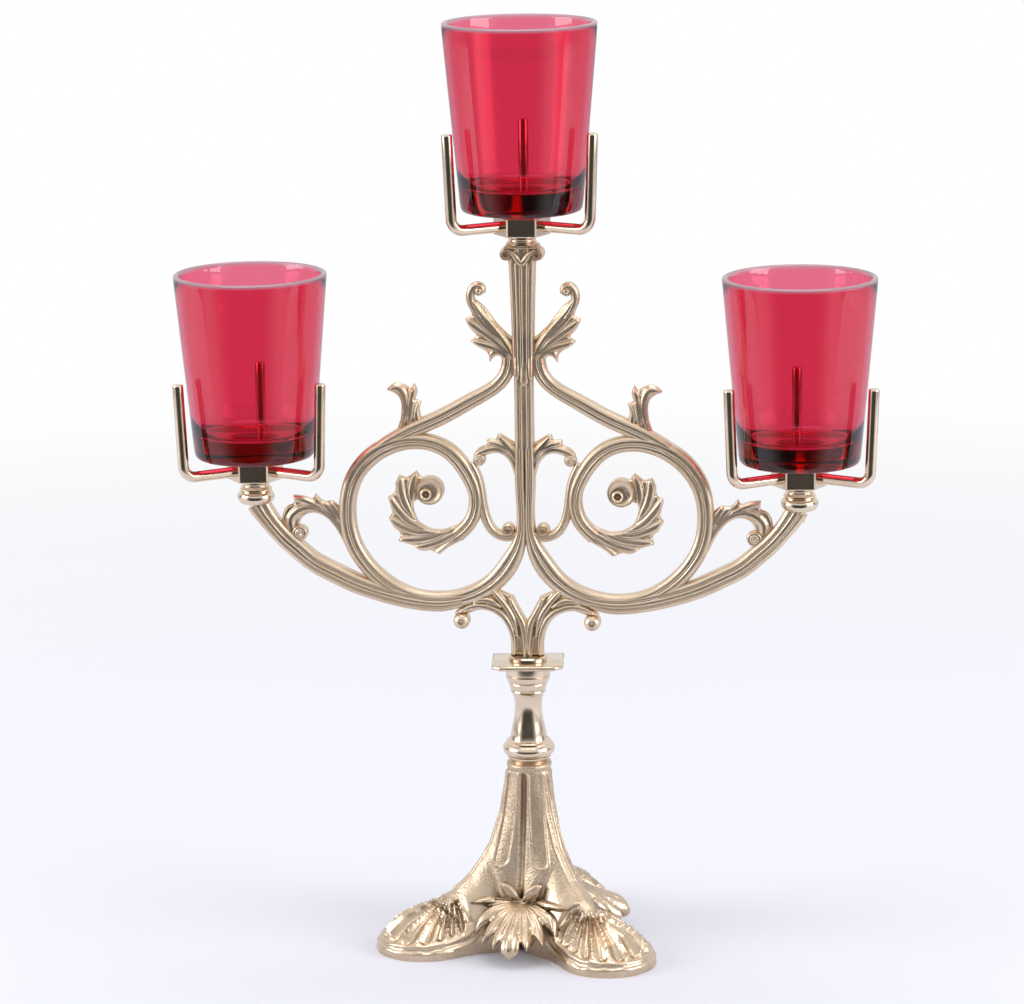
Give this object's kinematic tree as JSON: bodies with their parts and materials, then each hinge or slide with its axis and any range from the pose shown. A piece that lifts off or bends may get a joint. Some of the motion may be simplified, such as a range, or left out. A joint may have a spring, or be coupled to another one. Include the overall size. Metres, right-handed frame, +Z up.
{
  "type": "candelabra",
  "caption": "Table-top altar candelabra: cast lobed foot, turned baluster, flat scrollwork arms, and tapered glass votive cups standing in bent prongs on hexagonal hubs.",
  "frame": {"origin": "on the axis of the stem, in the plane that the foot's rims stand on", "axes": "+Z up along the stem; the scrollwork lies in the XZ plane with one side light at -X and the other at +X; the viewer of the picture stands on the -Y side"},
  "size_m": [0.2738, 0.1089, 0.3663],
  "materials": {
    "cast_brass": "satin",
    "polished_brass": "polished",
    "steel": "satin",
    "ruby_glass": "clear"
  },
  "bodies": {
    "stand": {"foot": "cast_brass", "baluster": "polished_brass", "abacus_plate": "polished_brass", "seat_ring": "polished_brass", "upper_stem": "polished_brass", "capital": "polished_brass", "left_ring_scroll": "polished_brass", "left_arm": "polished_brass", "left_brace": "polished_brass", "left_s_link": "polished_brass", "left_foot_bracket": "polished_brass", "left_upper_leaf": "polished_brass", "left_ring_leaf": "polished_brass", "left_arm_leaf": "polished_brass", "left_centre_leaf": "polished_brass", "left_rosette": "polished_brass", "left_spiral_leaf": "polished_brass", "right_ring_scroll": "polished_brass", "right_arm": "polished_brass", "right_brace": "polished_brass", "right_s_link": "polished_brass", "right_foot_bracket": "polished_brass", "right_upper_leaf": "polished_brass", "right_ring_leaf": "polished_brass", "right_arm_leaf": "polished_brass", "right_centre_leaf": "polished_brass", "right_rosette": "polished_brass", "right_spiral_leaf": "polished_brass", "centre_collar": "polished_brass", "centre_hub": "polished_brass", "centre_prong_back": "polished_brass", "centre_prong_front_left": "polished_brass", "centre_prong_front_right": "polished_brass", "centre_screw": "polished_brass", "left_collar": "polished_brass", "left_hub": "polished_brass", "left_prong_back": "polished_brass", "left_prong_front_left": "polished_brass", "left_prong_front_right": "polished_brass", "left_screw": "polished_brass", "right_collar": "polished_brass", "right_hub": "polished_brass", "right_prong_back": "polished_brass", "right_prong_front_left": "polished_brass", "right_prong_front_right": "polished_brass", "right_screw": "polished_brass", "tie_rod": "steel", "tie_washer": "steel", "tie_nut": "steel"},
    "centre_cup": {"centre_glass": "ruby_glass"},
    "left_cup": {"left_glass": "ruby_glass"},
    "right_cup": {"right_glass": "ruby_glass"}
  },
  "joints": [
    {"name": "centre_glass_lift", "type": "slide", "parent": "stand", "child": "centre_cup", "axis": [0, 0, 1], "range_m": [0, 0.08]},
    {"name": "left_glass_lift", "type": "slide", "parent": "stand", "child": "left_cup", "axis": [0, 0, 1], "range_m": [0, 0.08]},
    {"name": "right_glass_lift", "type": "slide", "parent": "stand", "child": "right_cup", "axis": [0, 0, 1], "range_m": [0, 0.08]}
  ]
}
